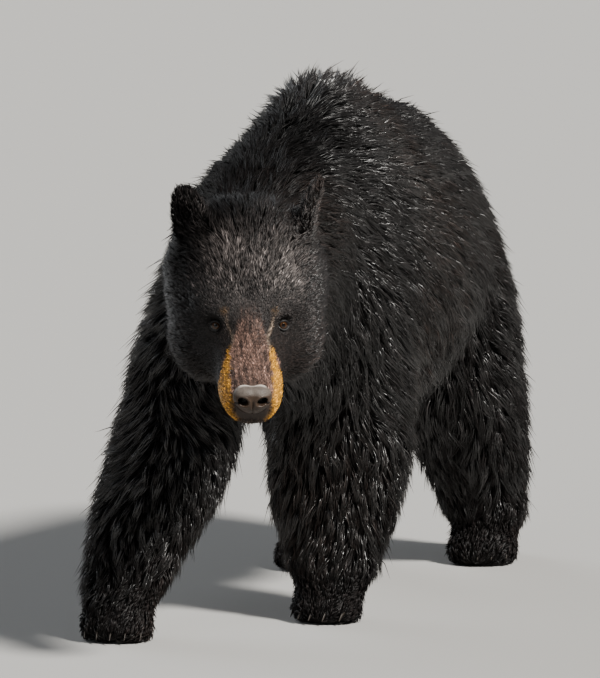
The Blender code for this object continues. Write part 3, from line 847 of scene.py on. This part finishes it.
def along_path(paths, share):
    """Points at a share of each path's length."""
    place = np.clip(share, 0.0, 1.0) * (paths.shape[1] - 1)
    low = np.minimum(place.astype(int), paths.shape[1] - 2)
    part = (place - low)[:, None]
    rows = np.arange(len(paths))
    return paths[rows, low] * (1 - part) + paths[rows, low + 1] * part


MIDDLE = 0.45  # where along a tuft its middle ring is
TUFT_TRIANGLES = np.array((
    (0, 2, 1),
    (0, 1, 4), (0, 4, 3), (1, 2, 5), (1, 5, 4), (2, 0, 3), (2, 3, 5),
    (3, 4, 6), (4, 5, 6), (5, 3, 6),
))


def tuft_rings(skin, locks, roots, at, mine, random):
    """Each tuft's root, middle and tip, and the skin's normals at the first two."""
    count = len(roots)
    values, length = skin.values[at], locks.length[mine]
    wet = np.clip(values[:, WET], 0, 1)
    guard = random.uniform(0, 1, count) < 0.05
    reach = random.uniform(0.72, 1.0, count) ** 0.8
    spread = roots - locks.starts[mine]
    gather = (0.06 + 0.90 * wet) * random.uniform(0.75, 1.0, count)
    height = values[:, DEPTH] * locks.height[mine] * (0.55 + 0.45 * random.uniform(0, 1, count) ** 0.7)
    height += length * values[:, RISE] * random.uniform(0.6, 1.0, count)
    height += guard * length * 0.16
    stray = random.normal(size=(count, 3)) * (length * (0.045 + 0.05 * guard))[:, None]
    places = []
    for share in (MIDDLE, 1.0):
        up = unit(along_path(locks.normals[mine], share * reach))
        lift = height * (1.0 - (1.0 - share) ** 1.6) - ROOT_DEPTH * (1.0 - share)
        place = along_path(locks.paths[mine], share * reach) + stray * share
        place += spread * (1.0 - gather * share ** 1.1)[:, None] + up * lift[:, None]
        places.append((place, up))
    (middle, up), (tip, _) = places
    tip[:, 2] = np.maximum(tip[:, 2], TIP_HEIGHT)
    middle[:, 2] = np.maximum(middle[:, 2], MIDDLE_HEIGHT)
    normal = skin.normals[at]
    root = roots - normal * np.minimum(ROOT_DEPTH, 0.4 * values[:, DEPTH])[:, None]
    return root, middle, tip, normal, up


def grow_tufts(skin, random):
    """All tufts, as arrays with a row for each: their points, and what their looks need."""
    locks = Locks(skin, random)
    roots, at = skin.scatter(skin.values[:, DENSITY] * 1000.0, random)
    grows = ~bare_places(roots, skin.normals[at])
    roots, at = roots[grows], at[grows]
    mine = locks.nearest(roots, skin.normals[at])
    root, middle, tip, normal, up = tuft_rings(skin, locks, roots, at, mine, random)
    values = skin.values[at]
    width = values[:, WIDTH] * random.uniform(0.75, 1.25, len(roots))
    sections = []
    root_ring, middle_ring = (root, middle - root, normal, 0.80), (middle, tip - root, up, 1.0)
    for point, heading, above, size in (root_ring, middle_ring):
        side = unit(np.cross(unit(heading), above))
        ridge = unit(np.cross(side, unit(heading)))
        half = (0.5 * size * width)[:, None]
        sections += [point - side * half, point + side * half, point + ridge * half * 0.85]
    fine = ramp(0.0017, 0.0013, values[:, WIDTH]) * ramp(0.0010, 0.0012, values[:, WIDTH])
    shade = np.exp(random.normal(0.0, 1.0, len(roots)) * (0.45 + 0.35 * fine))
    return {
        "points": np.stack([*sections, tip], 1),
        "root": roots,
        "at": at,
        "shade": locks.shade[mine] * shade,
        "gloss": values[:, GLOSS] * (1.0 + (locks.gloss[mine] - 1.0) * np.clip(values[:, WET], 0, 1)),
        "width": width,
        "length": lengths(tip - root),
    }


def unwrap(roots, node):
    """Each root's place on an unwrap of its part: round the part's axis, and along it."""
    if kind_of(node) in ("head", "ear"):
        along, side, front = to_head(roots).T
        front = front + 0.035
    elif node in TRUNK or node in ("neck", "tail"):
        side, _, front = (roots - centre_of(node)).T
        along = roots[:, 1]
    else:
        side, front, _ = (roots - (roots.min(0) + roots.max(0)) / 2).T
        along = roots[:, 2]
    places = np.column_stack((np.arctan2(side, front), along))
    spread = np.maximum(np.ptp(places, axis=0), 1e-6)
    return 0.01 + 0.98 * (places - places.min(0)) / spread


# the share of the tuft's length, and of half its width, at each of its points
ALONG = np.array((0, 0, 0, MIDDLE, MIDDLE, MIDDLE, 1.0))
ACROSS = np.array((-1.0, 1.0, 0.0, -1.0, 1.0, 0.0, 0.0))


def tuft_mesh(name, node, tufts, random):
    """One coat piece, with its colours, darkened towards the roots with painted shade, its fine grain and
    its unwrap.
    """
    count, corners = tufts["points"].shape[:2]
    triangles = (TUFT_TRIANGLES[None] + corners * np.arange(count)[:, None, None]).reshape(-1, 3)
    mesh = triangle_mesh(name, tufts["points"].reshape(-1, 3), triangles)
    # darker at the root and lighter at the tip: partly the hair's own tone, partly painted shade deep in
    # the coat
    shade = tufts["shade"][:, None] * (0.35 + 1.2 * ALONG[None])
    colour = markings_and_painted_light(tufts["root"])[:, None, :] * shade[:, :, None]
    gloss = np.repeat(tufts["gloss"][:, None], corners, 1)
    add_attribute(mesh, "coat_colour", "FLOAT_COLOR", np.concatenate((colour, gloss[:, :, None]), 2))
    strand = np.stack((
        ACROSS[None] * tufts["width"][:, None] * 0.5 + random.uniform(0, 1, count)[:, None],
        ALONG[None] * tufts["length"][:, None],
        np.repeat(random.uniform(0, 1, count)[:, None], corners, 1),
    ), 2)
    add_attribute(mesh, "strand", "FLOAT_VECTOR", strand)
    patch = np.stack((ACROSS, 2 * ALONG - 1), 1) * (UV_PATCH / 2)
    uv = (unwrap(tufts["root"], node)[:, None, :] + patch[None]).reshape(-1, 2)[triangles.ravel()]
    write(mesh.uv_layers.new(name="OFBake").data, "uv", uv)
    return mesh


def coat_pieces(skin, tufts):
    """The tufts of each coat piece, as name, node and indices."""
    roots, owner = tufts["root"], skin.owner[tufts["at"]]
    ahead = to_head(roots)[:, 0]
    for number, node in enumerate(FLESH):
        mine = owner == number
        parts = {node: mine}
        if node == "head":
            front, back = ahead > 0.0, ahead <= -0.07
            parts = {"muzzle": mine & front, "face": mine & ~front & ~back, "crown": mine & back}
        for name, chosen in parts.items():
            indices = np.flatnonzero(chosen)
            indices = indices[np.argsort(roots[indices, 0], kind="stable")]
            shares = max(1, math.ceil(len(indices) / MOST_TUFTS))
            for part, chunk in enumerate(np.array_split(indices, shares), start=1):
                ending = f"_{part}" if shares > 1 else ""
                yield f"coat_{name}{ending}", node, chunk


# ---- materials
def new_material(name, roughness=0.5, specular=0.5):
    made = bpy.data.materials.new(name)
    made.use_nodes = True
    shader = made.node_tree.nodes["Principled BSDF"]
    shader.inputs["Roughness"].default_value = roughness
    shader.inputs["Specular IOR Level"].default_value = specular
    return made, made.node_tree, shader


def node(tree, kind, links=(), **settings):
    """A shader node with its settings, and links from sockets or plain values to its inputs."""
    made = tree.nodes.new(kind)
    for key, value in settings.items():
        setattr(made, key, value)
    for socket, value in dict(links).items():
        if isinstance(value, bpy.types.NodeSocket):
            tree.links.new(value, made.inputs[socket])
        else:
            made.inputs[socket].default_value = value
    return made


def mixed(tree, share, first, second):
    """The output of a mix of two colours; each is a socket or three numbers."""
    first, second = (
        colour if isinstance(colour, bpy.types.NodeSocket) else (*colour, 1) for colour in (first, second)
    )
    links = {0: share, 6: first, 7: second}
    return node(tree, "ShaderNodeMix", links, data_type="RGBA").outputs[2]


def attribute(tree, name):
    return node(tree, "ShaderNodeAttribute", attribute_name=name).outputs


def place_on(tree):
    return node(tree, "ShaderNodeTexCoord").outputs["Object"]


def noise(tree, place, scale, detail=2.0):
    links = {"Vector": place, "Scale": scale, "Detail": detail}
    return node(tree, "ShaderNodeTexNoise", links).outputs[0]


def ranged(tree, value, low, high, start=0.0, end=1.0):
    """From low to high, as the value goes from start to end."""
    links = {"Value": value, "From Min": start, "From Max": end, "To Min": low, "To Max": high}
    return node(tree, "ShaderNodeMapRange", links).outputs[0]


def tinted(tree, colour, shade):
    return node(tree, "ShaderNodeVectorMath", {0: colour, 1: shade}, operation="MULTIPLY").outputs[0]


def scaled_sum(tree, value, scale, base):
    links = {0: value, 1: scale, 2: base}
    return node(tree, "ShaderNodeMath", links, operation="MULTIPLY_ADD").outputs[0]


def finished(made, shader, bumps, sockets, inwards=False):
    """The material, with bumps (height, strength, distance) and sockets linked to its shader."""
    links = dict(zip(("Height", "Strength", "Distance"), bumps))
    normal = node(made.node_tree, "ShaderNodeBump", links, invert=inwards).outputs[0]
    for name, value in {"Normal": normal, **sockets}.items():
        made.node_tree.links.new(value, shader.inputs[name])
    return made


def fur_material():
    """Hair: its own colour, darker and lighter along fine lines, glossier where it is wet."""
    made, tree, shader = new_material("black_fur")
    colour, strand = attribute(tree, "coat_colour"), attribute(tree, "strand")["Vector"]
    lines = node(tree, "ShaderNodeMapping", {"Vector": strand, "Scale": (2600, 90, 40)}).outputs[0]
    hairs = noise(tree, lines, 1.0)
    shade = ranged(tree, hairs, 0.55, 1.45, 0.3, 0.7)
    rough = ranged(tree, colour["Alpha"], 0.46, 0.31)
    by_tuft = node(tree, "ShaderNodeSeparateXYZ", {"Vector": strand}).outputs["Z"]
    return finished(made, shader, (hairs, 0.5, 0.0006), {
        "Base Color": tinted(tree, colour["Color"], shade),
        "Specular IOR Level": ranged(tree, colour["Alpha"], 0.03, 0.95),
        "Roughness": scaled_sum(tree, by_tuft, 0.14, rough),
    })


def skin_material():
    """Skin under the fur, with the same markings and the grain of short flat hair."""
    made, tree, shader = new_material("skin", roughness=0.60, specular=0.20)
    grain = noise(tree, place_on(tree), 420.0, 3.0)
    shade = ranged(tree, grain, 0.45, 1.15, 0.3, 0.7)
    colour = tinted(tree, attribute(tree, "coat_colour")["Color"], shade)
    return finished(made, shader, (grain, 0.6, 0.001), {"Base Color": colour})


def leather_material():
    """Moist, pebbled nose skin: brownish and duller on top, dark and wet in front, with a pale rim along
    the top that is a painted highlight and painted shade darkening the nostrils.
    """
    made, tree, shader = new_material("nose_leather", specular=0.22)
    place = place_on(tree)
    pebbles = node(tree, "ShaderNodeTexVoronoi", {"Vector": place, "Scale": 560.0}).outputs[0]
    patches = noise(tree, place, 150.0, 4.0)
    worn = attribute(tree, "worn")["Color"]
    top, rim_highlight, hole = node(tree, "ShaderNodeSeparateColor", {"Color": worn}).outputs
    dark = mixed(tree, patches, (0.018, 0.011, 0.007), (0.048, 0.030, 0.020))
    dull = mixed(tree, patches, (0.032, 0.025, 0.021), (0.125, 0.104, 0.089))
    # painted highlight: a pale rim along the pad's upper edge
    colour = mixed(tree, rim_highlight, mixed(tree, top, dark, dull), (0.380, 0.340, 0.300))
    # painted shade: nearly black in the nostrils and the slits beside them
    colour = mixed(tree, hole, colour, (0.003, 0.002, 0.002))
    rough = ranged(tree, top, 0.38, 0.55)
    sockets = {"Base Color": colour, "Roughness": rough}
    return finished(made, shader, (pebbles, 0.55, 0.0008), sockets, inwards=True)


def lid_material():
    made, tree, shader = new_material("lid_skin", roughness=0.55, specular=0.25)
    grain = noise(tree, place_on(tree), 900.0)
    return finished(made, shader, (grain, 0.3, 0.0004), {"Base Color": ranged(tree, grain, 0.002, 0.006)})


def claw_material():
    made, tree, shader = new_material("horn", roughness=0.45, specular=0.25)
    lines = noise(tree, place_on(tree), 260.0, 3.0)
    colour = mixed(tree, lines, (0.008, 0.006, 0.005), (0.030, 0.024, 0.019))
    return finished(made, shader, (lines, 0.3, 0.0005), {"Base Color": colour})


IRIS = (  # the eye's colour from the pupil's middle outwards, with shares of its radius
    (0.00, (0.001, 0.001, 0.001)), (0.27, (0.001, 0.001, 0.001)), (0.31, (0.020, 0.008, 0.003)),
    (0.43, (0.042, 0.017, 0.005)), (0.52, (0.020, 0.008, 0.003)), (0.58, (0.006, 0.003, 0.002)),
    (1.00, (0.006, 0.004, 0.003)),
)


def eye_material():
    """A wet brown eye: black pupil, orange-brown iris with fine rays, dark rim."""
    made, tree, shader = new_material("eye", roughness=0.045, specular=0.35)
    place = place_on(tree)
    rays = scaled_sum(tree, noise(tree, place, 900.0), 0.05, 0.0)
    flat = {0: tinted(tree, place, (1, 1, 0))}
    radius = node(tree, "ShaderNodeVectorMath", flat, operation="LENGTH").outputs["Value"]
    ring = node(tree, "ShaderNodeValToRGB", {"Fac": scaled_sum(tree, radius, 1.0 / EYE_RADIUS, rays)})
    stops = ring.color_ramp.elements
    while len(stops) < len(IRIS):
        stops.new(0.5)
    for stop, (position, colour) in zip(stops, IRIS):
        stop.position = position
        stop.color = (*colour, 1)
    tree.links.new(ring.outputs[0], shader.inputs["Base Color"])
    return made


# ---- eyes, lids, nose and claws
CORNEA_RISE, CORNEA_RADIUS = 0.0006, 0.0050
LID_PROFILE = (  # degrees beyond the lid's edge, and height above the ball
    (-2.0, -0.0004), (-1.2, 0.0005), (1.5, 0.0011), (5.0, 0.0015), (10.0, 0.0015),
    (17.0, 0.0008), (26.0, -0.0004), (40.0, -0.0025),
)


def revolve_grid(rows, columns):
    """Triangles of a grid whose columns close round."""
    triangles = []
    for row in range(rows - 1):
        for column in range(columns):
            after = (column + 1) % columns
            a, b = row * columns + column, row * columns + after
            c, d = b + columns, a + columns
            triangles += [(a, b, c), (a, c, d)]
    return triangles


def make_eye(side, material):
    """The eyeball with its cornea, turned to look at the viewer."""
    out, _, _ = eye_axes(side)
    gaze = Vector(unit(out * 0.45 + (FORWARD * 0.74 + UP * 0.66) * 0.55))
    form = bmesh.new()
    bmesh.ops.create_uvsphere(form, u_segments=48, v_segments=32, radius=EYE_RADIUS)
    for vert in form.verts:
        radial = math.hypot(vert.co.x, vert.co.y)
        if vert.co.z > 0:
            vert.co.z += CORNEA_RISE * math.exp(-(radial / CORNEA_RADIUS) ** 4)
    add_piece(f"eyeball_{SIDES[side]}", mesh_from(form, "eye"), material, "eye", f"eye_{SIDES[side]}",
              turn=gaze.to_track_quat("Z", "Y"), place=EYES[side])


def make_lids(side, material):
    """A ring of bare dark skin round the eye: a rounded edge on the ball, sinking under the fur."""
    out, corner, high = eye_axes(side)
    turns = np.linspace(0, 2 * math.pi, 64, endpoint=False)
    flat = np.cos(turns)[:, None] * corner + np.sin(turns)[:, None] * high
    rows = []
    for beyond, above in LID_PROFILE:
        angle = lid_angle(turns) + math.radians(beyond)
        thick = above * (1.0 + 0.35 * np.maximum(np.sin(turns), 0.0))
        ring = np.cos(angle)[:, None] * out + np.sin(angle)[:, None] * flat
        rows.append(EYES[side] + (EYE_RADIUS + thick)[:, None] * ring)
    triangles = np.array(revolve_grid(len(LID_PROFILE), len(turns)))
    if side == 1:
        triangles = triangles[:, ::-1]
    mesh = triangle_mesh("lids", np.concatenate(rows), triangles)
    add_piece(f"eyelids_{SIDES[side]}", mesh, material, "coat")


def nose_shape(sphere):
    """The pad across, ahead and up from its middle, and how deep in a nostril each point is."""
    boxy = (np.abs(sphere) ** 2.7).sum(1) ** (-1 / 2.7)
    across, ahead, up = (sphere * boxy[:, None]).T
    across = across * (1.0 - 0.42 * np.maximum(0.0, -up) ** 1.5 - 0.06 * np.maximum(0.0, up))
    ahead = ahead * (1.0 - 0.22 * across ** 2) - 0.20 * np.maximum(0.0, -up) ** 2
    across, ahead, up = across * NOSE_HALF[0], ahead * NOSE_HALF[1], up * NOSE_HALF[2]
    up = np.where(up < 0, NOSE_DROP * up, up)
    front = ramp(0.0, 0.008, ahead)
    lean = (np.abs(across) - NOSTRIL[0]) - 0.25 * (up - NOSTRIL[1])
    off_nostril = np.hypot(lean / NOSTRIL_HALF[0], (up - NOSTRIL[1]) / NOSTRIL_HALF[1])
    hole = ramp(1.10, 0.60, off_nostril)
    aside = np.abs(across) - 0.0225
    slit = ramp(1.0, 0.35, np.hypot(aside / 0.0080, (up + 0.0050 + 0.35 * aside) / 0.0028))
    sunk = 0.0120 * hole * front + 0.0042 * slit * ramp(-0.012, 0.0, ahead)
    sunk -= 0.0009 * bump(off_nostril - 1.35, 0.30) * front
    sunk += 0.0024 * bump(across, 0.0012) * ramp(0.002, -0.006, up) * front
    sunk += 0.0012 * bump(across, 0.0060) * front * ramp(-0.016, 0.0, up)
    dip = 0.0016 * bump(across, 0.011) * ramp(0.004, 0.016, up)
    # the second mask darkens the nostrils and slits as painted shade
    return np.column_stack((across, ahead - sunk, up - dip)), np.maximum(hole * front, 0.8 * slit)


def make_nose(material):
    """The nose pad, with masks for its duller top, its pale upper rim, a painted highlight, and its
    nostrils, darkened with painted shade.
    """
    form = bmesh.new()
    bmesh.ops.create_uvsphere(form, u_segments=180, v_segments=120, radius=1.0)
    shape, hole = nose_shape(np.array([vert.co[:] for vert in form.verts]))
    for vert, place in zip(form.verts, NOSE_MIDDLE + shape @ NOSE_AXES):
        vert.co = place
    bmesh.ops.recalc_face_normals(form, faces=form.faces)
    mesh = mesh_from(form, "nose")
    across, ahead, up = (shape / NOSE_HALF).T
    top = ramp(0.34, 0.60, up + 0.12 * np.abs(across))
    # painted highlight: the pale rim along the upper edge
    rim_highlight = ramp(0.76, 0.88, up) * ramp(0.30, -0.10, ahead)
    add_attribute(mesh, "worn", "FLOAT_COLOR", np.column_stack((top, rim_highlight, hole, np.ones(len(hole)))))
    add_piece("nose", mesh, material, "nose", "nose_pad")


def make_claw(name, material):
    """A claw as the frame has it, with its facets rounded."""
    form = bmesh.new()
    form.from_mesh(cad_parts[name].data)
    bmesh.ops.remove_doubles(form, verts=form.verts, dist=WELD)
    piece = add_piece(name.replace("claw", "horn"), mesh_from(form, name), material, "claw", name)
    rounding = piece.modifiers.new("Subdivision", "SUBSURF")
    rounding.levels = rounding.render_levels = 2


# ---- floor, lights and camera
AIM = Vector((0.0241, -0.0368, 0.4457))  # near the middle of the bear
CAMERA_AZIMUTH, CAMERA_ELEVATION = 18.26, 7.13  # degrees
CAMERA_DISTANCE = 12.8
VIEW_HEIGHT = 1.088  # metres seen from top to bottom at that distance
SENSOR = 36.0
FLOOR_RADIUS, FLOOR_TOP = 150.0, -0.0004
FLOOR_GREY = (0.32, 0.315, 0.305, 1)
SKY, SKY_STRENGTH = (0.80, 0.86, 0.95, 1), 0.14
SUNS = (  # azimuth, elevation and softness in degrees, strength, colour
    ("key", 64, 44, 9, 10.0, (1.0, 0.97, 0.92)),
    ("fill", -20, 30, 40, 0.45, (0.90, 0.95, 1.0)),
    ("back", 238, 30, 40, 1.5, (0.95, 0.98, 1.0)),
)


def set_towards(thing, azimuth, elevation, distance):
    """Put a camera or light on that side of the bear, facing it; angles in degrees."""
    azimuth, elevation = math.radians(azimuth), math.radians(elevation)
    towards = Vector((
        math.sin(azimuth) * math.cos(elevation),
        -math.cos(azimuth) * math.cos(elevation),
        math.sin(elevation),
    ))
    thing.location = AIM + towards * distance
    thing.rotation_euler = towards.to_track_quat("Z", "Y").to_euler()


def make_camera():
    data = bpy.data.cameras.new("camera")
    data.sensor_width = SENSOR
    data.lens = SENSOR * CAMERA_DISTANCE / VIEW_HEIGHT
    data.clip_end = 2 * FLOOR_RADIUS
    camera = add_object("camera", data)
    set_towards(camera, CAMERA_AZIMUTH, CAMERA_ELEVATION, CAMERA_DISTANCE)
    bpy.context.scene.camera = camera


def make_floor():
    form = bmesh.new()
    bmesh.ops.create_circle(form, cap_ends=True, segments=96, radius=FLOOR_RADIUS)
    mesh = mesh_from(form, "floor")
    floor = add_object("floor", mesh)
    floor.location.z = FLOOR_TOP
    made, _, shader = new_material("floor", roughness=0.85, specular=0.2)
    shader.inputs["Base Color"].default_value = FLOOR_GREY
    mesh.materials.append(made)


def make_stage():
    """A dim sky, the floor and three suns."""
    world = bpy.data.worlds.new("studio")
    world.use_nodes = True
    background = world.node_tree.nodes["Background"]
    background.inputs["Color"].default_value = SKY
    background.inputs["Strength"].default_value = SKY_STRENGTH
    bpy.context.scene.world = world
    make_floor()
    for name, azimuth, elevation, softness, strength, colour in SUNS:
        data = bpy.data.lights.new(name, "SUN")
        data.angle = math.radians(softness)
        data.energy = strength
        data.color = colour
        set_towards(add_object(name, data), azimuth, elevation, 5)


# ---- the bear
def add_skin(mesh, skin):
    """The skin as a piece, with its markings and the dark line of the lips."""
    ahead, left, up = to_head(skin.points).T
    lips = bump(up - mouth_height(ahead), 0.0035) * ramp(0.0, 0.02, ahead)
    lips *= ramp(0.09, 0.07, np.abs(left))
    colour = markings_and_painted_light(skin.points)
    colour = colour + (LIP - colour) * np.clip(1.3 * lips, 0, 1)[:, None]
    add_attribute(mesh, "coat_colour", "FLOAT_COLOR", np.column_stack((colour, skin.values[:, GLOSS])))
    mesh.shade_smooth()
    add_piece("bear_skin", mesh, skin_material(), "coat", *FLESH)


def main():
    make_camera()
    make_stage()
    random = np.random.default_rng(SEED)
    skin_mesh, *parts = make_skin()
    skin = Skin(skin_mesh, *parts)
    add_skin(skin_mesh, skin)
    fur = fur_material()
    tufts = grow_tufts(skin, random)
    for name, flesh, chosen in coat_pieces(skin, tufts):
        mine = {key: rows[chosen] for key, rows in tufts.items()}
        add_piece(name, tuft_mesh(name, flesh, mine, random), fur, "coat")
    ball, lid = eye_material(), lid_material()
    for side in SIDES:
        make_eye(side, ball)
        make_lids(side, lid)
    make_nose(leather_material())
    horn = claw_material()
    for name in CLAWS:
        make_claw(name, horn)


main()
